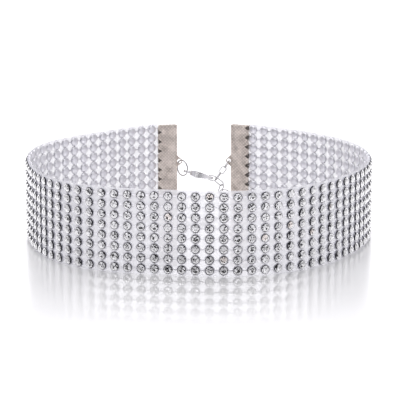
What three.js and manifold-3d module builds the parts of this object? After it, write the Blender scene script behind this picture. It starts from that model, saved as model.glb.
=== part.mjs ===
// Wide rhinestone choker: eight rows of cup chain, a ribbed crimp end on each side, and a lobster clasp.
// It stands on its lower edge as it does on a table. Front at -Y, clasp at +Y, millimetres, Z up.
import * as THREE from 'three';
import Module from 'manifold-3d';
import { mergeVertices } from 'three/addons/utils/BufferGeometryUtils.js';

const wasm = await Module();
wasm.setup();

// The loop, seen from above: a circle that lies a little out of round.
const loopRadius = 50;
const loopWaves = [
  // swing is a share of the loop's radius, crest is the direction of one crest in degrees from +X
  { lobes: 2, swing: 0.014, crest: 20 },
  { lobes: 3, swing: 0.023, crest: 84 },
  { lobes: 4, swing: 0.009, crest: 9 },
  { lobes: 5, swing: 0.020, crest: 15 },
  { lobes: 6, swing: 0.008, crest: 42 },
];
const openingTurn = 88.4; // direction of the middle of the gap between the crimp ends, in degrees from +X
const openingWidth = 17.9; // along the loop, between the two folds

// Rows of stones
const rowCount = 8;
const cupDiameter = 2.75;
const cupDepth = 2.2;
const rowGap = 0.3;
const stonePitch = 3.8;
const stonesPerStep = 2;
const firstStone = 2.45; // from the left crimp's toothed edge to the first stone's middle
const lastStone = 1.65; // the same at the right crimp
const crownInset = 0.55; // how far the stones' slope comes in at the front, each side
const crownHeight = 0.65;
const backInset = 0.4;
const backHeight = 0.35;
const tailHeight = 1.5; // the flattened last link of each row, inside the crimp

// Ribbon crimp ends
const crimpWidth = 6.2;
const sheet = 0.45;
const crimpSlot = 0.9;
const crimpHeight = 23.1;
const crimpDrop = 0.2; // how far the crimps hang below the middle of the rows
const leftCrimpTurn = 8; // directions in which the crimps point to the opening, in degrees from +X
const rightCrimpTurn = 157;
const tailLength = 3.6; // how far a row's end reaches into the crimp
const toothDepth = 1.25;
const toothWidth = 1.7; // of the notch, at the edge
const tabSheet = 0.35;
const tabFoot = 3.8;
const tabHole = 0.7; // radius
const tabRim = 0.24;
const tabReach = 0.7; // from the fold to the middle of the hole
const tabDrop = 0.3; // below the middle of the crimp

// Jump ring on the left tab
const ringRadius = 2.5;
const ringWire = 0.23; // radius
const ringYaw = -48; // direction of the ring's plane, in degrees from +X
const ringDroop = 54; // how far below level the ring's middle lies from the hole, in degrees
const ringHang = -20; // where the clasp's eye hangs on the ring, in degrees

// Lobster clasp: +X from the eye to the hook, Y across, Z through its thickness
const claspLength = 8.7; // from the middle of the eye to the end of the hook
const claspWidth = 5.2;
const claspThickness = 2.3;
const neckThickness = 1;
const fullThicknessAt = 3.4; // from the eye
const hookThickness = 0.75;
const hookWall = 0.9;
const armWall = 1.2;
const claspNeck = 1.6; // solid length between the eye and the opening
const eyeRadius = 1.2;
const eyeHole = 0.75;
const eyeThickness = 0.8;
const leverThickness = 0.7;
const leverReach = 3.1; // from the pivot to the lever's end
const leverHub = 0.85;
const pinRadius = 0.3;
const pivotAlong = 1.8; // pivot's place, from the near end of the clasp's body
const pivotAcross = 0.95;
const nubRadius = 0.5;
const claspYaw = -10;
const claspDip = 12.5;
const claspRoll = -12;

// Extender chain
const linkWidth = 1.95;
const linkWire = 0.17; // radius
const linkOverlap = 0.12; // soldered contact where two links touch
const heldLinks = 3; // between the right tab and the link in the hook
const heldRoll = 60; // the first link stands across the tab, and each next one a quarter turn on
const hookedLink = 3; // length
const tailRoute = [
  // each link of the free end: its length along the chain, and the way that it points
  { pitch: 2.85, yaw: -5, dip: 38, roll: 40 },
  { pitch: 2.65, yaw: 185, dip: 72, roll: -40 },
  { pitch: 2.65, yaw: 15, dip: 4, roll: 62 },
];

const clearance = 0.3;
const wireSides = 6;
const roundSides = 16;
const linkSides = 14;

const rowPitch = cupDiameter + rowGap;
const bandHeight = (rowCount - 1) * rowPitch + cupDiameter;
const midHeight = bandHeight / 2;
const up = new THREE.Vector3(0, 0, 1);
const across = new THREE.Vector3(0, 1, 0);
const rad = THREE.MathUtils.degToRad;

const crystal = new THREE.MeshStandardMaterial({ color: '#d6d9de', roughness: 0.15, metalness: 0.9 });
const nickel = new THREE.MeshStandardMaterial({ color: '#bdb3ab', roughness: 0.4, metalness: 0.9 });
const silver = new THREE.MeshStandardMaterial({ color: '#cfcdcc', roughness: 0.22, metalness: 1 });

const choker = new THREE.Group();
choker.name = 'choker';

// Solid helpers
function toSolid(geometry) {
  const bare = geometry.clone();
  bare.deleteAttribute('normal');
  bare.deleteAttribute('uv');
  const merged = mergeVertices(bare, 1e-4);
  return new wasm.Manifold(new wasm.Mesh({
    numProp: 3,
    vertProperties: Float32Array.from(merged.attributes.position.array),
    triVerts: Uint32Array.from(merged.index.array),
  }));
}

function toGeometry(solid) {
  const mesh = solid.getMesh();
  const geometry = new THREE.BufferGeometry();
  geometry.setAttribute('position', new THREE.BufferAttribute(mesh.vertProperties, 3));
  geometry.setIndex(new THREE.BufferAttribute(mesh.triVerts, 1));
  geometry.computeVertexNormals();
  return geometry;
}

function addPiece(name, geometry, material, place = new THREE.Matrix4()) {
  const mesh = new THREE.Mesh(geometry, material);
  mesh.name = name;
  mesh.applyMatrix4(place);
  choker.add(mesh);
}

function box(x0, x1, y0, y1, z0, z1) {
  const block = new THREE.BoxGeometry(x1 - x0, y1 - y0, z1 - z0);
  return toSolid(block.translate((x0 + x1) / 2, (y0 + y1) / 2, (z0 + z1) / 2));
}

function slab(shape, thickness, curveSegments = roundSides) {
  const geometry = new THREE.ExtrudeGeometry(shape, { depth: thickness, bevelEnabled: false, curveSegments });
  return toSolid(geometry.translate(0, 0, -thickness / 2));
}

function disc(x, y, radius, thickness, sides = roundSides) {
  const geometry = new THREE.CylinderGeometry(radius, radius, thickness, sides);
  return toSolid(geometry.rotateX(Math.PI / 2).translate(x, y, 0));
}

function oval(x, halfLength, halfWidth, thickness) {
  const shape = new THREE.Shape();
  shape.absellipse(x, 0, halfLength, halfWidth, 0, 2 * Math.PI);
  return slab(shape, thickness, 28);
}

// Path of the rows, and places along it measured from the middle of the opening
class LoopCurve extends THREE.Curve {
  getPoint(t, target = new THREE.Vector3()) {
    const turn = rad(openingTurn) + t * 2 * Math.PI;
    const waves = loopWaves.map(({ lobes, swing, crest }) => swing * Math.cos(lobes * (turn - rad(crest))));
    const reach = loopRadius * (1 + waves.reduce((sum, wave) => sum + wave, 0));
    return target.set(reach * Math.cos(turn), reach * Math.sin(turn), 0);
  }
}

const loop = new LoopCurve();
loop.arcLengthDivisions = 1440;
const loopLength = loop.getLength();
const leftFold = openingWidth / 2;
const rightFold = loopLength - openingWidth / 2;

function loopPlace(distance, height) {
  const point = loop.getPointAt(distance / loopLength);
  const along = loop.getTangentAt(distance / loopLength);
  const out = new THREE.Vector3(along.y, -along.x, 0);
  point.z = height;
  return { point, out };
}

// A crimp lies straight, from its toothed edge on the loop towards the opening
const crimpWay = {
  left: new THREE.Vector3(Math.cos(rad(leftCrimpTurn)), Math.sin(rad(leftCrimpTurn)), 0),
  right: new THREE.Vector3(Math.cos(rad(rightCrimpTurn)), Math.sin(rad(rightCrimpTurn)), 0),
};

function rowPlace(distance, height) {
  const leftInside = leftFold + crimpWidth - distance;
  const rightInside = distance - rightFold + crimpWidth;
  const place = loopPlace(Math.min(Math.max(distance, leftFold + crimpWidth), rightFold - crimpWidth), height);
  if (leftInside > 0) {
    place.point.addScaledVector(crimpWay.left, leftInside);
    place.out.crossVectors(up, crimpWay.left);
  }
  if (rightInside > 0) {
    place.point.addScaledVector(crimpWay.right, rightInside);
    place.out.crossVectors(crimpWay.right, up);
  }
  return place;
}

// A row: an eight-sided cup section swept round the loop, with a flattened link at each end
const halfCup = cupDiameter / 2;
const halfDepth = cupDepth / 2;
const cupSection = [
  { out: -halfDepth, high: -halfCup + backInset },
  { out: -halfDepth + backHeight, high: -halfCup },
  { out: halfDepth - crownHeight, high: -halfCup },
  { out: halfDepth, high: -halfCup + crownInset },
  { out: halfDepth, high: halfCup - crownInset },
  { out: halfDepth - crownHeight, high: halfCup },
  { out: -halfDepth + backHeight, high: halfCup },
  { out: -halfDepth, high: halfCup - backInset },
];
const tailDeep = (crimpSlot - 2 * clearance) / cupDepth;
const tailHigh = tailHeight / cupDiameter;

function rowStations() {
  const start = leftFold + crimpWidth + firstStone;
  const end = rightFold - crimpWidth - lastStone;
  const columns = Math.round((end - start) / stonePitch);
  const steps = Math.round(columns / stonesPerStep);
  const pitch = (end - start) / steps;
  const full = Array.from({ length: steps - 1 }, (_, i) => ({ at: start + (i + 1) * pitch, deep: 1, high: 1 }));
  const flat = { deep: tailDeep, high: tailHigh };
  return [
    { at: leftFold + crimpWidth - tailLength, ...flat },
    { at: leftFold + crimpWidth - clearance, ...flat },
    { at: start - halfCup, ...flat },
    { at: start - halfCup / 2, deep: 1, high: 1 },
    ...full,
    { at: end + halfCup / 2, deep: 1, high: 1 },
    { at: end + halfCup, ...flat },
    { at: rightFold - crimpWidth + clearance, ...flat },
    { at: rightFold - crimpWidth + tailLength, ...flat },
  ];
}

function rowGeometry(height) {
  const sides = cupSection.length;
  const stations = rowStations();
  const positions = [];
  stations.forEach(({ at, deep, high }) => {
    const { point, out } = rowPlace(at, height);
    cupSection.forEach((corner) => {
      const place = point.clone().addScaledVector(out, corner.out * deep);
      positions.push(place.x, place.y, place.z + corner.high * high);
    });
  });
  const faces = [];
  for (let i = 0; i < stations.length - 1; i += 1) {
    for (let j = 0; j < sides; j += 1) {
      const a = i * sides + j;
      const b = i * sides + (j + 1) % sides;
      faces.push(a, a + sides, b, b, a + sides, b + sides);
    }
  }
  const last = (stations.length - 1) * sides;
  for (let j = 1; j < sides - 1; j += 1) {
    faces.push(0, j, j + 1, last, last + j + 1, last + j);
  }
  const geometry = new THREE.BufferGeometry();
  geometry.setAttribute('position', new THREE.Float32BufferAttribute(positions, 3));
  geometry.setIndex(faces);
  geometry.computeVertexNormals();
  return geometry;
}

function addRows() {
  for (let row = 0; row < rowCount; row += 1) {
    addPiece(`stone_row_${row + 1}`, rowGeometry(halfCup + row * rowPitch), crystal);
  }
}

// A crimp end: a folded sheet with a toothed edge at X = 0 and its fold at X = crimpWidth
const crimpThickness = crimpSlot + 2 * sheet;
const holeAlong = crimpWidth + tabReach;

function crimpSheet() {
  const half = crimpThickness / 2;
  const turn = crimpWidth - half;
  const shape = new THREE.Shape();
  shape.moveTo(0, -half);
  shape.lineTo(turn, -half);
  shape.absarc(turn, 0, half, -Math.PI / 2, Math.PI / 2, false);
  shape.lineTo(0, half);
  shape.lineTo(0, crimpSlot / 2);
  shape.lineTo(turn, crimpSlot / 2);
  shape.absarc(turn, 0, crimpSlot / 2, Math.PI / 2, -Math.PI / 2, true);
  shape.lineTo(0, -crimpSlot / 2);
  return slab(shape, crimpHeight, 6);
}

// A notch in one leaf; the other leaf's notches stand half a row further, so the teeth face the gaps
function toothNotch(height, leaf) {
  const shape = new THREE.Shape();
  shape.moveTo(toothDepth, height);
  shape.lineTo(-toothDepth, height + toothWidth);
  shape.lineTo(-toothDepth, height - toothWidth);
  const geometry = new THREE.ExtrudeGeometry(shape, { depth: crimpThickness / 2, bevelEnabled: false });
  return toSolid(geometry.rotateX(Math.PI / 2).translate(0, leaf > 0 ? crimpThickness / 2 : 0, 0));
}

function tabPlate() {
  const edge = tabHole + tabRim;
  const shape = new THREE.Shape();
  shape.moveTo(crimpWidth - sheet, tabFoot / 2);
  shape.lineTo(crimpWidth - sheet, -tabFoot / 2);
  shape.lineTo(crimpWidth, -tabFoot / 2);
  shape.absarc(holeAlong, 0, edge, -Math.PI / 3, Math.PI / 3, false);
  shape.lineTo(crimpWidth, tabFoot / 2);
  const geometry = new THREE.ExtrudeGeometry(shape, { depth: tabSheet, bevelEnabled: false, curveSegments: 8 });
  return toSolid(geometry.rotateX(Math.PI / 2).translate(0, tabSheet / 2, -tabDrop));
}

function crimpGeometry() {
  const drill = toSolid(new THREE.CylinderGeometry(tabHole, tabHole, 2 * crimpThickness, roundSides)
    .translate(holeAlong, 0, -tabDrop));
  let solid = crimpSheet().add(tabPlate()).subtract(drill);
  for (let gap = 0; gap <= rowCount; gap += 1) {
    const height = (gap - rowCount / 2) * rowPitch + crimpDrop;
    solid = solid.subtract(toothNotch(height, -1)).subtract(toothNotch(height + rowPitch / 2, 1));
  }
  return toGeometry(solid);
}

function crimpPlace(edgeAt, way) {
  const edge = loopPlace(edgeAt, midHeight - crimpDrop).point;
  return new THREE.Matrix4().makeBasis(way, new THREE.Vector3().crossVectors(up, way), up).setPosition(edge);
}

const leftPlace = crimpPlace(leftFold + crimpWidth, crimpWay.left);
const rightPlace = crimpPlace(rightFold - crimpWidth, crimpWay.right);
const leftHole = new THREE.Vector3(holeAlong, 0, -tabDrop).applyMatrix4(leftPlace);
const rightHole = new THREE.Vector3(holeAlong, 0, -tabDrop).applyMatrix4(rightPlace);

function addCrimps() {
  addPiece('left_crimp_end', crimpGeometry(), nickel, leftPlace);
  addPiece('right_crimp_end', crimpGeometry(), nickel, rightPlace);
}

// The way that yaw and dip point: yaw turns from +X about Z, dip leans below level
function pointing(yaw, dip) {
  const level = Math.cos(rad(dip));
  return new THREE.Vector3(level * Math.cos(rad(yaw)), level * Math.sin(rad(yaw)), -Math.sin(rad(dip)));
}

// X along the given way, then rolled about it
function frameAlong(along, roll, origin) {
  const side = new THREE.Vector3().crossVectors(Math.abs(along.z) > 0.95 ? across : up, along).normalize();
  side.applyAxisAngle(along, rad(roll));
  const face = new THREE.Vector3().crossVectors(along, side);
  return new THREE.Matrix4().makeBasis(along, side, face).setPosition(origin);
}

// Jump ring through the left tab's hole
const ringLevel = pointing(ringYaw, 0);
const ringMiddle = leftHole.clone()
  .addScaledVector(ringLevel, ringRadius * Math.cos(rad(ringDroop)))
  .addScaledVector(up, -ringRadius * Math.sin(rad(ringDroop)));

function addJumpRing() {
  const ring = new THREE.TorusGeometry(ringRadius, ringWire, wireSides, roundSides);
  const normal = new THREE.Vector3().crossVectors(ringLevel, up);
  addPiece('jump_ring', ring, silver, new THREE.Matrix4().makeBasis(ringLevel, up, normal).setPosition(ringMiddle));
}

// Lobster clasp
const eyePoint = ringMiddle.clone()
  .addScaledVector(ringLevel, ringRadius * Math.cos(rad(ringHang)))
  .addScaledVector(up, ringRadius * Math.sin(rad(ringHang)));
const claspWay = pointing(claspYaw, claspDip);
const claspPlace = frameAlong(claspWay, claspRoll, eyePoint);
const bodyStart = eyeRadius - clearance;
const bodyHalf = (claspLength - bodyStart) / 2;
const bodyMiddle = bodyStart + bodyHalf;
const holeStart = bodyStart + claspNeck;
const holeHalf = (claspLength - hookWall - holeStart) / 2;
const holeMiddle = holeStart + holeHalf;
const pivotX = bodyStart + pivotAlong;
const forkEnd = pivotX + leverHub + clearance / 2;

const claspOuter = () => oval(bodyMiddle, bodyHalf, claspWidth / 2, claspThickness);
const claspOpening = () => oval(holeMiddle, holeHalf, claspWidth / 2 - armWall, 2 * claspThickness);

function claspBodyGeometry() {
  const side = new THREE.Shape();
  side.moveTo(0, -neckThickness / 2);
  side.lineTo(fullThicknessAt, -claspThickness / 2);
  side.lineTo(claspLength, -hookThickness / 2);
  side.lineTo(claspLength, hookThickness / 2);
  side.lineTo(fullThicknessAt, claspThickness / 2);
  side.lineTo(0, neckThickness / 2);
  const taper = slab(side, 2 * claspWidth).rotate([90, 0, 0]);
  const swing = disc(pivotX, pivotAcross, leverReach + clearance, 2 * claspThickness, 32);
  const gate = swing.intersect(box(forkEnd, claspLength, 0, claspWidth, -claspThickness, claspThickness));
  const slotHalf = leverThickness / 2 + clearance;
  const slotFloor = pivotAcross - leverHub - clearance;
  const slot = swing.intersect(box(pivotX - leverHub - clearance, claspLength, slotFloor, claspWidth,
    -slotHalf, slotHalf));
  const eye = disc(0, 0, eyeRadius, eyeThickness).subtract(disc(0, 0, eyeHole, 2 * eyeThickness));
  const pin = disc(pivotX, pivotAcross, pinRadius, claspThickness - clearance, 10);
  const body = claspOuter().intersect(taper).subtract(claspOpening()).subtract(gate).subtract(slot);
  return toGeometry(body.add(eye).subtract(disc(0, 0, eyeHole, 2 * eyeThickness)).add(pin));
}

function claspLeverGeometry() {
  const reach = disc(pivotX, pivotAcross, leverReach, claspThickness, 32);
  const half = leverThickness / 2;
  const upper = box(pivotX, claspLength, 0, claspWidth, -half, half);
  const nub = disc(forkEnd + nubRadius, claspWidth / 2, nubRadius, leverThickness, 12);
  const arm = claspOuter().subtract(claspOpening()).intersect(upper).add(nub).intersect(reach);
  const hub = disc(pivotX, pivotAcross, leverHub, leverThickness);
  return toGeometry(arm.add(hub).subtract(disc(pivotX, pivotAcross, pinRadius + clearance, claspThickness)));
}

function addClasp() {
  addPiece('clasp_body', claspBodyGeometry(), silver, claspPlace);
  addPiece('clasp_lever', claspLeverGeometry(), silver, claspPlace);
}

// Extender chain: three links from the right tab to the link in the hook, and the free end below it
const wireWidth = 2 * linkWire;
const hookedMiddle = new THREE.Vector3(claspLength - hookWall / 2, 0, 0).applyMatrix4(claspPlace);
const hookedEnd = hookedMiddle.clone().addScaledVector(claspWay, hookedLink / 2 - linkWire);

function link(length) {
  const round = (linkWidth - wireWidth) / 2;
  const stretch = (length - linkWidth) / 2;
  const geometry = new THREE.TorusGeometry(round, linkWire, wireSides, linkSides);
  const position = geometry.attributes.position;
  for (let i = 0; i < position.count; i += 1) {
    position.setX(i, position.getX(i) + Math.sign(position.getX(i)) * stretch);
  }
  return geometry;
}

function placedLink(length, start, way, roll) {
  const middle = start.clone().addScaledVector(way, length / 2 - linkWire);
  return toSolid(link(length).applyMatrix4(frameAlong(way, roll, middle)));
}

function heldStretch() {
  const round = linkWidth / 2 - linkWire;
  const tabFace = new THREE.Vector3().crossVectors(up, crimpWay.right);
  const pull = hookedEnd.clone().sub(rightHole).normalize();
  // The first link bears on the hole's edge where it crosses the tab squarely
  const bearing = pull.clone().projectOnPlane(tabFace).normalize().sub(pull);
  const start = rightHole.clone().addScaledVector(bearing, round);
  const span = hookedEnd.clone().sub(start);
  const pitch = span.length() / heldLinks;
  const length = pitch + 2 * wireWidth - linkOverlap;
  const way = span.normalize();
  return Array.from({ length: heldLinks }, (_, i) => placedLink(
    length,
    start.clone().addScaledVector(way, i * pitch),
    way,
    i % 2 ? heldRoll - 90 : heldRoll,
  ));
}

function freeEnd() {
  const start = hookedEnd.clone().addScaledVector(claspWay, -wireWidth + linkOverlap);
  return tailRoute.map(({ pitch, yaw, dip, roll }) => {
    const way = pointing(yaw, dip);
    const piece = placedLink(pitch + 2 * wireWidth - linkOverlap, start, way, roll);
    start.addScaledVector(way, pitch);
    return piece;
  });
}

function addChain() {
  const hooked = toSolid(link(hookedLink).applyMatrix4(frameAlong(claspWay, claspRoll + 90, hookedMiddle)));
  const pieces = [hooked, ...heldStretch(), ...freeEnd()];
  addPiece('extender_chain', toGeometry(pieces.reduce((sum, piece) => sum.add(piece))), silver);
}

// Stand the choker with the middle of its outer box at the origin
function centre() {
  const bounds = new THREE.Box3().setFromObject(choker);
  const middle = bounds.getCenter(new THREE.Vector3());
  choker.position.set(-middle.x, -middle.y, -bounds.min.z);
}

addRows();
addCrimps();
addJumpRing();
addClasp();
addChain();
centre();

export default choker;
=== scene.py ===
import math

import bpy
import numpy as np
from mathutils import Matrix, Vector


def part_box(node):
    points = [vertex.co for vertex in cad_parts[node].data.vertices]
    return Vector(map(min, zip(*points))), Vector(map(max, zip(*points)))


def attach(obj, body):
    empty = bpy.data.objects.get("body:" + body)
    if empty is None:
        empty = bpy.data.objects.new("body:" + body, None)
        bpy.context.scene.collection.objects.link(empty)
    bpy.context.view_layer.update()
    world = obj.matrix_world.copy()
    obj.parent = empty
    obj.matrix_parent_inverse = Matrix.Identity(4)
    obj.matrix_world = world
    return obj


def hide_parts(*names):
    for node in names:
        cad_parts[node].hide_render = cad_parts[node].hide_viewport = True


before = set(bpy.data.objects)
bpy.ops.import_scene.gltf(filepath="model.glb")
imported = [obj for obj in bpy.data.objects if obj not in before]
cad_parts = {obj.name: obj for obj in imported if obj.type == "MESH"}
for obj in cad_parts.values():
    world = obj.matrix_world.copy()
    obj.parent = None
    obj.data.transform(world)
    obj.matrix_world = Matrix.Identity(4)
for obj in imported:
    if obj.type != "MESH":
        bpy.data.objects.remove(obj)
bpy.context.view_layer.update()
print("frame loaded")

mm = 0.001


# Small helpers

def linear(hexColour):
    # sRGB hex to the linear values that Blender's sockets hold
    parts = [int(hexColour[i:i + 2], 16) / 255 for i in (1, 3, 5)]
    return [c / 12.92 if c <= 0.04045 else ((c + 0.055) / 1.055) ** 2.4 for c in parts] + [1.0]


def addNode(material, kind, settings=None, links=None):
    # one node, its settings by attribute or socket name, and its input links as (node, output)
    node = material.node_tree.nodes.new(kind)
    for name, value in (settings or {}).items():
        if isinstance(name, int) or name in node.inputs:
            node.inputs[name].default_value = value
        else:
            setattr(node, name, value)
    for name, (source, output) in (links or {}).items():
        material.node_tree.links.new(source.outputs[output], node.inputs[name])
    return node


def newMaterial(name):
    material = bpy.data.materials.new(name)
    material.use_nodes = True
    material.node_tree.nodes.clear()
    return material


def closeMaterial(material, shader):
    addNode(material, "ShaderNodeOutputMaterial", {}, {"Surface": (shader, "BSDF")})
    return material


sharpAngle = math.radians(38)  # smooth faces that meet at a wider angle keep their edge


def meshPiece(name, vertices, faces, materials, slots=None, smooth=None):
    # a mesh from whole arrays, its object left at the origin
    mesh = bpy.data.meshes.new(name)
    mesh.from_pydata(vertices.reshape(-1, 3).tolist(), [], faces)
    for material in materials:
        mesh.materials.append(material)
    if slots is not None:
        mesh.polygons.foreach_set("material_index", np.asarray(slots, np.int32))
    if smooth is not None:
        mesh.polygons.foreach_set("use_smooth", np.asarray(smooth, bool))
        mesh.set_sharp_from_angle(angle=sharpAngle)
    mesh.update()
    piece = bpy.data.objects.new(name, mesh)
    bpy.context.collection.objects.link(piece)
    return piece


# The loop that the rows follow, as in the part's own plan

loopShape = {
    "radius": 50 * mm,
    "openingTurn": 88.4,  # degrees from +X to the middle of the opening
    "openingWidth": 17.9 * mm,
    "crimpWidth": 6.2 * mm,
    "rowHalfDepth": 1.1 * mm,  # of the plain rows, which show where the loop stands
    "samples": 2880,
    "firstStone": 2.45 * mm,  # from the crimps' edges to the middles of the first and last stone
    "lastStone": 1.65 * mm,
    "stonePitch": 3.8 * mm,
    "pitchDrift": 0.6 * mm,  # how far the columns of the right half stray from an even pitch
    "waves": [  # lobes, swing as a share of the radius, direction of a crest
        (2, 0.014, 20),
        (3, 0.023, 84),
        (4, 0.009, 9),
        (5, 0.020, 15),
        (6, 0.008, 42),
    ],
}


def loopPoints(turn):
    # a circle whose radius swells and shrinks by a few cosines of the direction
    waves = sum(s * np.cos(n * (turn - math.radians(c))) for n, s, c in loopShape["waves"])
    reach = loopShape["radius"] * (1 + waves)
    return np.stack([reach * np.cos(turn), reach * np.sin(turn)], axis=-1)


def loopTable():
    # the loop's points and the length from the middle of the opening to each of them
    start = math.radians(loopShape["openingTurn"])
    points = loopPoints(np.linspace(start, start + 2 * math.pi, loopShape["samples"] + 1))
    lengths = np.concatenate([[0], np.cumsum(np.linalg.norm(np.diff(points, axis=0), axis=1))])
    return points, lengths


tablePoints, tableLengths = loopTable()
tableAlong = np.gradient(tablePoints, axis=0)
tableAlong /= np.linalg.norm(tableAlong, axis=1)[:, None]
tableOut = np.stack([tableAlong[:, 1], -tableAlong[:, 0]], axis=-1)
lowCorner, highCorner = (np.array(corner[:2]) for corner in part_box("stone_row_1"))
bandEdge = tablePoints + tableOut * loopShape["rowHalfDepth"]
acrossMiddle = (lowCorner[0] + highCorner[0] - bandEdge[:, 0].min() - bandEdge[:, 0].max()) / 2
loopMiddle = np.array([acrossMiddle, lowCorner[1] - bandEdge[:, 1].min()])


def alongLoop(distances):
    # place, direction of travel and outward direction at each distance, as rows of XYZ with Z = 0
    def pick(table):
        flat = np.stack([np.interp(distances, tableLengths, table[:, k]) for k in (0, 1)], axis=-1)
        return np.concatenate([flat, np.zeros((len(flat), 1))], axis=1)
    place = pick(tablePoints + loopMiddle)
    along = pick(tableAlong)
    along /= np.linalg.norm(along, axis=1)[:, None]
    out = np.stack([along[:, 1], -along[:, 0], np.zeros(len(along))], axis=-1)
    return place, along, out


rowNodes = sorted(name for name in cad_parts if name.startswith("stone_row_"))
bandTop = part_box(rowNodes[-1])[1][2]
bandMiddle = (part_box(rowNodes[0])[0][2] + bandTop) / 2
crimpEdge = loopShape["openingWidth"] / 2 + loopShape["crimpWidth"]
startAt = crimpEdge + loopShape["firstStone"]
endAt = tableLengths[-1] - crimpEdge - loopShape["lastStone"]
columnCount = int(round((endAt - startAt) / loopShape["stonePitch"])) + 1
columnAt = np.linspace(startAt, endAt, columnCount)
frontAt = tableLengths[-1] / 2
rightHalf = np.clip((columnAt - frontAt) / (endAt - frontAt), 0, 1)
columnAt += loopShape["pitchDrift"] * np.sin(2 * math.pi * rightHalf)
print("loop worked out:", columnCount, "columns")


# Silver plate on pressed brass cups: bright, slightly cool, a little soft from the plating.
# The collar round the stone is painted dark as painted shade, and the wall is painted a little darker than
# the back as painted shade.

cupFinish = {"colour": "#f1f0f5", "roughness": 0.34, "grainSize": 0.5 * mm}
# painted shade: the dark colour of the collar round the stone
collarInPaintedShade = {"colour": "#303035", "roughness": 0.3, "grainSize": 0.5 * mm}
# painted shade: the wall's darker copy of the cup metal
wallInPaintedShade = {"colour": "#c4c4ca", "roughness": 0.34, "grainSize": 0.5 * mm}
plateGrain = {"smoothest": 0.7, "roughest": 1.4, "detail": 3.0}  # shares of a finish's roughness


def silverPlate(name, finish):
    material = newMaterial(name)
    coords = addNode(material, "ShaderNodeTexCoord")
    grain = addNode(material, "ShaderNodeTexNoise",
                    {"Scale": 1 / finish["grainSize"], "Detail": plateGrain["detail"]},
                    {"Vector": (coords, "Object")})
    softness = addNode(material, "ShaderNodeMapRange",
                       {"To Min": finish["roughness"] * plateGrain["smoothest"],
                        "To Max": finish["roughness"] * plateGrain["roughest"]},
                       {"Value": (grain, "Fac")})
    shader = addNode(material, "ShaderNodeBsdfPrincipled",
                     {"Base Color": linear(finish["colour"]), "Metallic": 1.0},
                     {"Roughness": (softness, "Result")})
    return closeMaterial(material, shader)


# Cut glass stone: clear lead glass over a silver foil, so light comes back through the facets

stoneFinish = {
    "colour": "#ffffff",
    "ior": 1.56,
    "roughness": 0.0,
    "foil": "#e2e2e4",
    "shadedFoil": "#232327",  # painted reflection: dark foil where a facet would mirror something dark
    "warmFoil": "#eee6e2",
    "foilRoughness": 0.03,
}
netFinish = {"colour": "#f0f0f3", "through": 0.66, "open": 0.3}


def cutGlass():
    material = newMaterial("cutGlassStone")
    shader = addNode(material, "ShaderNodeBsdfPrincipled",
                     {"Base Color": linear(stoneFinish["colour"]), "Roughness": stoneFinish["roughness"],
                      "IOR": stoneFinish["ior"], "Transmission Weight": 1.0})
    return closeMaterial(material, shader)


def silverFoil(name, colour):
    material = newMaterial(name)
    shader = addNode(material, "ShaderNodeBsdfPrincipled",
                     {"Base Color": linear(colour), "Metallic": 1.0,
                      "Roughness": stoneFinish["foilRoughness"]})
    return closeMaterial(material, shader)


def paleNet():
    # thin white net: its threads pass most of their light on, and its holes let some straight through
    material = newMaterial("paleNet")
    face = addNode(material, "ShaderNodeBsdfDiffuse", {"Color": linear(netFinish["colour"])})
    through = addNode(material, "ShaderNodeBsdfTranslucent", {"Color": linear(netFinish["colour"])})
    both = addNode(material, "ShaderNodeMixShader", {"Fac": netFinish["through"]},
                   {1: (face, "BSDF"), 2: (through, "BSDF")})
    holes = addNode(material, "ShaderNodeBsdfTransparent")
    net = addNode(material, "ShaderNodeMixShader", {"Fac": netFinish["open"]},
                  {1: (both, "Shader"), 2: (holes, "BSDF")})
    addNode(material, "ShaderNodeOutputMaterial", {}, {"Surface": (net, "Shader")})
    return material


rowMaterials = {
    "cup": silverPlate("silverPlatedBrassCup", cupFinish),
    "stone": cutGlass(),
    "foil": silverFoil("silverFoilBacking", stoneFinish["foil"]),
    "collar": silverPlate("shadedCollarOfCup", collarInPaintedShade),
    "net": paleNet(),
    "shadedFoil": silverFoil("silverFoilInShade", stoneFinish["shadedFoil"]),
    "warmFoil": silverFoil("silverFoilWarm", stoneFinish["warmFoil"]),
    "wall": silverPlate("wallOfCupInShade", wallInPaintedShade),
}
slotOf = {name: index for index, name in enumerate(rowMaterials)}


# One cup, one stone, one link bar, in millimetres: local X along the row, Y outward, Z up

cupShape = {
    "sides": 12,
    "profile": [  # outward place, radius, and the material from there to the next ring
        (-1.10, 0.42, "cup"),
        (-1.04, 0.80, "cup"),
        (-0.90, 1.16, "cup"),
        # painted shade: the wall rings take the darker wall colour
        (-0.66, 1.39, "wall"),
        (-0.28, 1.455, "wall"),
        (-0.14, 1.38, "cup"),
        # painted shade: the collar rings take the dark collar colour
        (-0.17, 1.235, "collar"),
        (0.09, 1.085, "collar"),
    ],
}
stoneShape = {
    "sides": 8,
    "girdleRadius": 1.09,
    "girdleOut": 0.10,
    "tableRadius": 0.60,
    "crownHeight": 0.45,
    "midRadius": 0.88,
    "lowerRadius": 0.54,
    "culetDepth": 0.60,
}
barShape = {"reach": 1.3, "out": -0.35, "halfHeight": 0.17, "halfDepth": 0.14, "inCrimp": 0.9}
netShape = {
    "out": -0.55 * mm,
    "lowHem": 0.2 * mm,  # below the lowest cups and above the highest
    "highHem": 0.3 * mm,
    "step": 1.0 * mm,
    "endMargin": 0.25 * mm,
}
cupReach = max(radius for _, radius, _ in cupShape["profile"]) * mm
lowestCup = cupReach + netShape["lowHem"]
highestCup = bandTop - cupReach - netShape["highHem"]
cupHeights = dict(zip(rowNodes, np.linspace(lowestCup, highestCup, len(rowNodes)).tolist()))


def ringAt(radius, out, count, turn=0.0):
    # count points round the outward axis
    angle = (np.arange(count) + turn) * 2 * math.pi / count
    return np.stack([radius * np.cos(angle), np.full(count, out), radius * np.sin(angle)], axis=-1)


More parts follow.
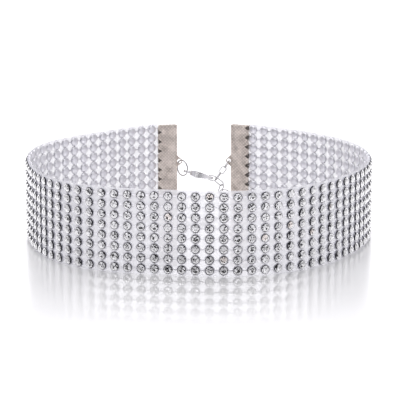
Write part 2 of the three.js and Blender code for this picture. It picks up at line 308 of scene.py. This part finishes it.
def cupUnit():
    # a profile turned round the outward axis: domed back, wall, rim, and the collar round the stone
    n = cupShape["sides"]
    rings = [ringAt(radius, out, n) for out, radius, _ in cupShape["profile"]]
    around = np.arange(n)
    faces, faceSlots = [around.tolist()], [slotOf["cup"]]
    for k, (_, _, material) in enumerate(cupShape["profile"][:-1]):
        a, b = k * n + around, k * n + (around + 1) % n
        faces += np.stack([b, a, a + n, b + n], axis=1).tolist()
        faceSlots += [slotOf[material]] * n
    return np.concatenate(rings), faces, faceSlots


def stoneUnit():
    # a round brilliant: table, star, kite and girdle facets above, kites and girdle facets below
    s = stoneShape
    n, girdleSides = s["sides"], 2 * s["sides"]
    base, crown = s["girdleOut"], s["crownHeight"]
    cosHalf = math.cos(math.pi / n)
    crownSlope = crown / (s["girdleRadius"] - s["tableRadius"])
    midOut = crownSlope * (s["girdleRadius"] - s["midRadius"] * cosHalf)
    lowOut = -s["culetDepth"] * (1 - s["lowerRadius"] * cosHalf / s["girdleRadius"])
    rings = [
        ringAt(s["tableRadius"], base + crown, n),
        ringAt(s["midRadius"], base + midOut, n, 0.5),
        ringAt(s["girdleRadius"], base, girdleSides),
        ringAt(s["lowerRadius"], base + lowOut, n, 0.5),
        np.array([[0, base - s["culetDepth"], 0]]),
    ]
    k = np.arange(n)
    after, before = (k + 1) % n, (k - 1) % n
    table, middle, girdle = k, n + k, 2 * n + 2 * k
    lower, culet = 4 * n + k, np.full(n, 5 * n)
    girdleHalf, girdleNext = girdle + 1, 2 * n + (2 * k + 2) % girdleSides
    crownFaces = [table[::-1].tolist()]
    crownFaces += np.stack([table, after, middle], axis=1).tolist()
    crownFaces += np.stack([table, middle, girdle, n + before], axis=1).tolist()
    crownFaces += np.stack([middle, girdleHalf, girdle], axis=1).tolist()
    crownFaces += np.stack([middle, girdleNext, girdleHalf], axis=1).tolist()
    backFaces = np.stack([culet, 4 * n + before, girdle, lower], axis=1).tolist()
    backFaces += np.stack([lower, girdle, girdleHalf], axis=1).tolist()
    backFaces += np.stack([lower, girdleHalf, girdleNext], axis=1).tolist()
    return np.concatenate(rings), crownFaces, backFaces


boxFaces = [[0, 1, 3, 2], [4, 6, 7, 5], [0, 4, 5, 1], [2, 3, 7, 6], [0, 2, 6, 4], [1, 5, 7, 3]]


def corners(halfX, halfY, halfZ):
    signs = np.array([[x, y, z] for x in (-1, 1) for y in (-1, 1) for z in (-1, 1)])
    return signs * [halfX, halfY, halfZ]


def spread(unit, places, along, out):
    # a unit shape in millimetres set upright at every place, turned to its own directions
    local = unit * mm
    return (places[:, None, :] + local[..., 0:1] * along[:, None, :]
            + local[..., 1:2] * out[:, None, :] + local[..., 2:3] * np.array([0.0, 0.0, 1.0]))


def repeated(faces, step, count, offset):
    return [[offset + i * step + v for v in face] for i in range(count) for face in faces]


def turned(unit, spin, tiltX, tiltZ):
    # each copy spun round its outward axis, then leaned a little both ways
    c, s = np.cos(spin)[:, None], np.sin(spin)[:, None]
    x = unit[None, :, 0] * c - unit[None, :, 2] * s
    z = unit[None, :, 0] * s + unit[None, :, 2] * c
    y = unit[None, :, 1] + x * tiltX[:, None] + z * tiltZ[:, None]
    return np.stack([x, y, z], axis=-1)


stoneSpread = {
    "seed": 11,
    "lean": 0.07,
    "shaded": 0.28,  # share of back facets painted dark, a painted reflection of something dark
    "warm": 0.02,  # share of stones with a warmer foil
}


def tailBars(height):
    # the flattened link from the first and last stone of a row into its crimp
    spans = ((crimpEdge - barShape["inCrimp"] * mm, startAt - barShape["reach"] * mm),
             (endAt + barShape["reach"] * mm, tableLengths[-1] - crimpEdge + barShape["inCrimp"] * mm))
    bars = []
    for start, end in spans:
        place, along, out = alongLoop(np.array([(start + end) / 2]))
        place[:, 2] = height
        bar = corners((end - start) / mm / 2, barShape["halfDepth"], barShape["halfHeight"])
        bars.append(spread(bar[None], place, along, out))
    return np.concatenate(bars)


def netStrip(height):
    # the pale net that the cups sit in, one row high, a single sheet behind the stones
    start = crimpEdge + netShape["endMargin"]
    end = tableLengths[-1] - start
    count = int((end - start) / netShape["step"]) + 1
    place, along, out = alongLoop(np.linspace(start, end, count))
    halfPitch = (highestCup - lowestCup) / (len(rowNodes) - 1) / 2
    low = height - halfPitch if height > lowestCup else 0.0
    high = height + halfPitch if height < highestCup else bandTop
    lines = place + out * netShape["out"]
    points = np.stack([lines + [0, 0, low], lines + [0, 0, high]], axis=1)
    k = 2 * np.arange(count - 1)
    return points.reshape(1, -1, 3), np.stack([k, k + 2, k + 3, k + 1], axis=1).tolist()


def stoneRow(name, rowIndex):
    height = cupHeights[name]
    rng = np.random.default_rng(stoneSpread["seed"] + rowIndex)
    place, along, out = alongLoop(columnAt)
    place[:, 2] = height
    n = len(place)
    vertices, faces, slots, smooth = [], [], [], []

    def collect(points, *groups):
        # every copy's points once, then each group of its faces with its material slots and shading
        count, step = points.shape[0], points.shape[1]
        offset = sum(len(part) for part in vertices)
        vertices.append(points.reshape(-1, 3))
        for unitFaces, slot, isSmooth in groups:
            made = repeated(unitFaces, step, count, offset)
            faces.extend(made)
            slots.extend(slot * count if isinstance(slot, list) else [slot] * len(made))
            smooth.extend([isSmooth] * len(made))

    cup, cupFaces, cupSlots = cupUnit()
    cups = spread(np.broadcast_to(cup, (n, *cup.shape)), place, along, out)
    collect(cups, (cupFaces, cupSlots, True))
    stone, crownFaces, backFaces = stoneUnit()
    lean = rng.uniform(-stoneSpread["lean"], stoneSpread["lean"], (2, n))
    stones = turned(stone, rng.uniform(0, math.pi, n), lean[0], lean[1])
    collect(spread(stones, place, along, out),
            (crownFaces, slotOf["stone"], False), (backFaces, slotOf["foil"], False))
    # painted reflection: a random share of back facets take the dark foil
    shaded = rng.random(n * len(backFaces)) < stoneSpread["shaded"]
    warm = rng.random(n) < stoneSpread["warm"]
    backing = np.repeat(np.where(warm, slotOf["warmFoil"], slotOf["foil"]), len(backFaces))
    slots[-len(shaded):] = np.where(shaded, slotOf["shadedFoil"], backing).tolist()

    between = (columnAt[1:] + columnAt[:-1]) / 2
    barPlace, barAlong, barOut = alongLoop(between)
    barPlace[:, 2] = height
    halfBar = loopShape["stonePitch"] / mm / 2 - barShape["reach"]
    bar = corners(halfBar, barShape["halfDepth"], barShape["halfHeight"]) + [0, barShape["out"], 0]
    bars = spread(np.broadcast_to(bar, (n - 1, *bar.shape)), barPlace, barAlong, barOut)
    for points in (bars, tailBars(height)):
        collect(points, (boxFaces, slotOf["cup"], False))
    net, netFaces = netStrip(height)
    collect(net, (netFaces, slotOf["net"], True))

    piece = meshPiece("cup_chain_" + name[-1], np.concatenate(vertices), faces,
                      rowMaterials.values(), slots, smooth)
    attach(piece, "choker")
    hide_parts(name)
    return piece


for rowIndex, rowName in enumerate(rowNodes):
    stoneRow(rowName, rowIndex)
print("stone rows made")


# Nickel plated sheet of the crimp ends: warm grey, satin, with a rolled diamond knurl

crimpFinish = {
    "colour": "#f9eee5",
    "dark": "#76675c",
    "roughness": 0.4,
    "metallic": 0.85,
    "knurlTurn": 45,  # degrees from upright, both ways
    "knurlPitch": 0.72 * mm,
    "bandSize": 0.314,  # width of one band of the wave texture at scale 1
    "bump": 0.6,
    "bumpDepth": 0.1 * mm,
    "foldRadius": 0.35 * mm,
    "wearSize": 2.2 * mm,
    "wearDetail": 5.0,
    "wearShare": 1.25,  # how far wear and the knurl's painted shade move the colour from dark to light
    "wearShift": -0.01,
    "knurlShadeShare": 0.32,
}


def knurledNickel():
    f = crimpFinish
    material = newMaterial("knurledNickelSheet")
    coords = addNode(material, "ShaderNodeTexCoord")
    waves = []
    for turn in (f["knurlTurn"], -f["knurlTurn"]):
        mapping = addNode(material, "ShaderNodeMapping",
                          {"Rotation": (0, math.radians(turn), 0)}, {"Vector": (coords, "Object")})
        waves.append(addNode(material, "ShaderNodeTexWave",
                             {"wave_type": "BANDS", "bands_direction": "X",
                              "Scale": f["bandSize"] / f["knurlPitch"]},
                             {"Vector": (mapping, "Vector")}))
    knurl = addNode(material, "ShaderNodeMath", {"operation": "MULTIPLY"},
                    {0: (waves[0], "Fac"), 1: (waves[1], "Fac")})
    cloud = addNode(material, "ShaderNodeTexNoise",
                    {"Scale": 1 / f["wearSize"], "Detail": f["wearDetail"]},
                    {"Vector": (coords, "Object")})
    mixed = addNode(material, "ShaderNodeMix",
                    {"data_type": "RGBA", 6: linear(f["dark"]), 7: linear(f["colour"])})
    wear = addNode(material, "ShaderNodeMath",
                   {"operation": "MULTIPLY_ADD", 1: f["wearShare"], 2: f["wearShift"]},
                   {0: (cloud, "Fac")})
    # painted shade: the knurl also darkens the colour in its grooves
    both = addNode(material, "ShaderNodeMath", {"operation": "MULTIPLY_ADD", 1: f["knurlShadeShare"]},
                   {0: (knurl, "Value"), 2: (wear, "Value")})
    material.node_tree.links.new(both.outputs["Value"], mixed.inputs["Factor"])
    folds = addNode(material, "ShaderNodeBevel", {"samples": 8, "Radius": f["foldRadius"]})
    bump = addNode(material, "ShaderNodeBump", {"Strength": f["bump"], "Distance": f["bumpDepth"]},
                   {"Height": (knurl, "Value"), "Normal": (folds, "Normal")})
    shader = addNode(material, "ShaderNodeBsdfPrincipled",
                     {"Metallic": f["metallic"], "Roughness": f["roughness"]},
                     {"Base Color": (mixed, 2), "Normal": (bump, "Normal")})
    return closeMaterial(material, shader)


nickel = knurledNickel()
for name in ("left_crimp_end", "right_crimp_end"):
    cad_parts[name].data.materials.clear()
    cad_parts[name].data.materials.append(nickel)

crimpWay = {"left": 8, "right": 157}  # towards the opening, in degrees from +X
# painted shade: a dark block inside each crimp stands for the shade within its fold
crimpShadeShape = {
    "from": 0.2,  # in millimetres from the crimp's toothed edge
    "to": 2.4,
    "halfDepth": 0.38,
    "halfHeight": 11.2,
    "colour": "#7d7772",
    "roughness": 0.6,
}


def paintedCrimpShade():
    material = newMaterial("paintedShadeBlockInCrimp")
    shader = addNode(material, "ShaderNodeBsdfPrincipled",
                     {"Base Color": linear(crimpShadeShape["colour"]), "Roughness": crimpShadeShape["roughness"]})
    return closeMaterial(material, shader)


def crimpShadeBlock(side, distance, crimpShadeMaterial):
    # a dark block of painted shade inside the crimp, seen through the notches of the toothed edge
    g = crimpShadeShape
    low, high = (np.array(corner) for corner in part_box(side + "_crimp_end"))
    turn = math.radians(crimpWay[side])
    way = np.array([[math.cos(turn), math.sin(turn), 0.0]])
    depth = np.array([[-math.sin(turn), math.cos(turn), 0.0]])
    place = alongLoop(np.array([distance]))[0]
    place[:, 2] = (low[2] + high[2]) / 2
    block = corners((g["to"] - g["from"]) / 2, g["halfDepth"], g["halfHeight"])
    block = block + [(g["to"] + g["from"]) / 2, 0, 0]
    piece = meshPiece(side + "_crimp_painted_shade", spread(block[None], place, way, depth), boxFaces, [crimpShadeMaterial])
    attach(piece, "choker")


# painted shade: dark blocks inside both crimps
crimpShadeMaterial = paintedCrimpShade()
crimpShadeBlock("left", crimpEdge, crimpShadeMaterial)
crimpShadeBlock("right", tableLengths[-1] - crimpEdge, crimpShadeMaterial)

# The small findings: the part's own solids, rounded off as cast and drawn metal is

claspFinish = {"colour": "#fefdfc", "roughness": 0.23, "grainSize": 0.8 * mm}
wireFinish = {"colour": "#bfbebf", "roughness": 0.46, "grainSize": 0.8 * mm}
findingRounding = {  # size of the voxels and rounds of smoothing
    "jump_ring": (0.045 * mm, 6),
    "clasp_body": (0.06 * mm, 8),
    "clasp_lever": (0.05 * mm, 5),
    "extender_chain": (0.045 * mm, 4),
}
smoothingPull = 0.5  # share of the way to its neighbours that each round moves a point
castMetal = silverPlate("polishedSilverPlate", claspFinish)
wireMetal = silverPlate("drawnSilverPlatedWire", wireFinish)


def roundedCopy(name, voxel, rounds):
    # a merged, evenly meshed and smoothed copy of one solid, which stands for it
    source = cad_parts[name]
    piece = source.copy()
    piece.data = source.data.copy()
    piece.name = name + "_rounded"
    piece.parent = None
    bpy.context.collection.objects.link(piece)
    remesh = piece.modifiers.new("remesh", "REMESH")
    remesh.mode = "VOXEL"
    remesh.voxel_size = voxel
    relax = piece.modifiers.new("relax", "SMOOTH")
    relax.iterations = rounds
    relax.factor = smoothingPull
    bpy.context.view_layer.update()
    mesh = bpy.data.meshes.new_from_object(piece.evaluated_get(bpy.context.evaluated_depsgraph_get()))
    piece.modifiers.clear()
    piece.data = mesh
    mesh.materials.clear()
    mesh.materials.append(castMetal if name.startswith("clasp") else wireMetal)
    mesh.polygons.foreach_set("use_smooth", np.ones(len(mesh.polygons), bool))
    print(piece.name, len(mesh.polygons), "faces")
    return piece


for name, (voxel, rounds) in findingRounding.items():
    piece = roundedCopy(name, voxel, rounds)
    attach(piece, "lever" if name == "clasp_lever" else "choker")
    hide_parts(name)
print("crimps and findings finished")


# White studio: a glossy white sheet under the choker, in a white room that is dark behind the camera

studio = {
    "floor": "#ffffff",
    "floorIor": 1.5,
    "floorRoughness": 0.012,
    "sideRoughness": 0.2,  # the sheet is scuffed to the left and right
    "sideRoughFrom": 0.018,
    "sideRoughTo": 0.038,
    "floorMirror": 0.17,  # share of plain mirror in the sheet close to the choker
    "floorGloss": 0.42,
    "mirrorFadeFrom": -0.05,  # along Y, from the choker's front towards the camera
    "mirrorFadeTo": -0.098,
    "floorHalf": 3.0,
    "roomStrength": 1.7,
    "roomTint": "#fdfcff",
    "patchesFrom": 0.65,  # Y of the directions where the patches begin to show, and where they are full
    "patchesFull": 0.25,
    "patchScale": 3.4,
    "patchDetail": 1.0,
    "patchDark": 0.04,
    "patchBright": 1.56,
    "patchEdge": (0.41, 0.46),
    "cameraUp": 13,  # the dark opening behind the camera: degrees above level, and its radius
    "cameraDark": 26,
    "cameraDarkBlur": 0.02,  # either side of its edge, as a cosine
    "sideLevel": 0.36,  # light from straight left or right, as a share of the rest
    "sideFrom": 0.5,
    "sideTo": 0.95,
}


def whiteFloor():
    # a glossy acrylic sheet whose mirror fades out towards the camera
    half = studio["floorHalf"]
    vertices = np.array([[-half, -half, 0], [half, -half, 0], [half, half, 0], [-half, half, 0]])
    material = newMaterial("glossyWhiteSheet")
    coords = addNode(material, "ShaderNodeTexCoord")
    place = addNode(material, "ShaderNodeSeparateXYZ", {}, {"Vector": (coords, "Object")})
    fades = []
    for most in (studio["floorMirror"], studio["floorGloss"]):
        fades.append(addNode(material, "ShaderNodeMapRange",
                             {"interpolation_type": "SMOOTHSTEP", "From Min": studio["mirrorFadeTo"],
                              "From Max": studio["mirrorFadeFrom"], "To Min": 0.0, "To Max": most},
                             {"Value": (place, "Y")}))
    across = addNode(material, "ShaderNodeMath", {"operation": "ABSOLUTE"}, {0: (place, "X")})
    scuffs = addNode(material, "ShaderNodeMapRange",
                     {"From Min": studio["sideRoughFrom"], "From Max": studio["sideRoughTo"],
                      "To Min": studio["floorRoughness"], "To Max": studio["sideRoughness"]},
                     {"Value": (across, "Value")})
    shader = addNode(material, "ShaderNodeBsdfPrincipled",
                     {"Base Color": linear(studio["floor"]), "IOR": studio["floorIor"]},
                     {"Metallic": (fades[0], "Result"), "Specular IOR Level": (fades[1], "Result"),
                      "Roughness": (scuffs, "Result")})
    floor = meshPiece("floor", vertices, [[0, 1, 2, 3]], [closeMaterial(material, shader)])


def whiteRoom():
    # even white behind the choker, and a patchwork of dark stands and bright screens round the rest
    world = bpy.data.worlds.new("whiteRoom")
    bpy.context.scene.world = world
    world.use_nodes = True
    world.node_tree.nodes.clear()
    coords = addNode(world, "ShaderNodeTexCoord")
    patches = addNode(world, "ShaderNodeTexNoise",
                      {"Scale": studio["patchScale"], "Detail": studio["patchDetail"]},
                      {"Vector": (coords, "Generated")})
    screens = addNode(world, "ShaderNodeMapRange",
                      {"interpolation_type": "SMOOTHSTEP", "From Min": studio["patchEdge"][0],
                       "From Max": studio["patchEdge"][1], "To Min": studio["patchDark"],
                       "To Max": studio["patchBright"]},
                      {"Value": (patches, "Fac")})
    way = addNode(world, "ShaderNodeSeparateXYZ", {}, {"Vector": (coords, "Generated")})
    front = addNode(world, "ShaderNodeMapRange",
                    {"interpolation_type": "SMOOTHSTEP", "From Min": studio["patchesFrom"],
                     "From Max": studio["patchesFull"], "To Min": 0.0, "To Max": 1.0},
                    {"Value": (way, "Y")})
    level = addNode(world, "ShaderNodeMix", {"data_type": "FLOAT", 2: studio["roomStrength"]},
                    {"Factor": (front, "Result")})
    world.node_tree.links.new(screens.outputs["Result"], level.inputs[3])
    up = math.radians(studio["cameraUp"])
    towards = addNode(world, "ShaderNodeVectorMath",
                      {"operation": "DOT_PRODUCT", 1: (0, -math.cos(up), math.sin(up))},
                      {0: (coords, "Generated")})
    edge, blur = math.cos(math.radians(studio["cameraDark"])), studio["cameraDarkBlur"]
    doorway = addNode(world, "ShaderNodeMapRange",
                      {"interpolation_type": "SMOOTHSTEP", "From Min": edge - blur, "From Max": edge + blur,
                       "To Min": 1.0, "To Max": studio["patchDark"]},
                      {"Value": (towards, "Value")})
    across = addNode(world, "ShaderNodeMath", {"operation": "ABSOLUTE"}, {0: (way, "X")})
    sides = addNode(world, "ShaderNodeMapRange",
                    {"interpolation_type": "SMOOTHSTEP", "From Min": studio["sideFrom"],
                     "From Max": studio["sideTo"], "To Min": 1.0, "To Max": studio["sideLevel"]},
                    {"Value": (across, "Value")})
    shade = addNode(world, "ShaderNodeMath", {"operation": "MULTIPLY"},
                    {0: (sides, "Result"), 1: (doorway, "Result")})
    strength = addNode(world, "ShaderNodeMath", {"operation": "MULTIPLY"},
                       {0: (level, 0), 1: (shade, "Value")})
    light = addNode(world, "ShaderNodeBackground", {"Color": linear(studio["roomTint"])},
                    {"Strength": (strength, "Value")})
    addNode(world, "ShaderNodeOutputWorld", {}, {"Surface": (light, "Background")})


cameraFit = {
    "elevation": 13.05,  # degrees
    "distance": 596.89 * mm,  # to the middle of the loop and of the band's height
    "focalPixels": 2011.97,
    "axisX": 199.14,  # where that middle stands in the photo, in pixels from its top left corner
    "axisY": 194.38,
    "frameWidth": 400,
    "sensorWidth": 36,
    "clip": (0.01, 20),
}


def addCamera():
    c = cameraFit
    data = bpy.data.cameras.new("camera")
    data.sensor_width = c["sensorWidth"]
    data.lens = c["sensorWidth"] * c["focalPixels"] / c["frameWidth"]
    data.shift_x = (c["frameWidth"] / 2 - c["axisX"]) / c["frameWidth"]
    data.shift_y = (c["axisY"] - c["frameWidth"] / 2) / c["frameWidth"]
    data.clip_start, data.clip_end = c["clip"]
    camera = bpy.data.objects.new("camera", data)
    bpy.context.collection.objects.link(camera)
    tilt = math.radians(c["elevation"])
    middle = Vector((*loopMiddle, bandMiddle))
    camera.location = middle + c["distance"] * Vector((0, -math.cos(tilt), math.sin(tilt)))
    camera.rotation_euler = (math.pi / 2 - tilt, 0, 0)
    bpy.context.scene.camera = camera


whiteFloor()
whiteRoom()
addCamera()
bpy.context.scene.view_settings.view_transform = "Standard"
print("studio and camera set")
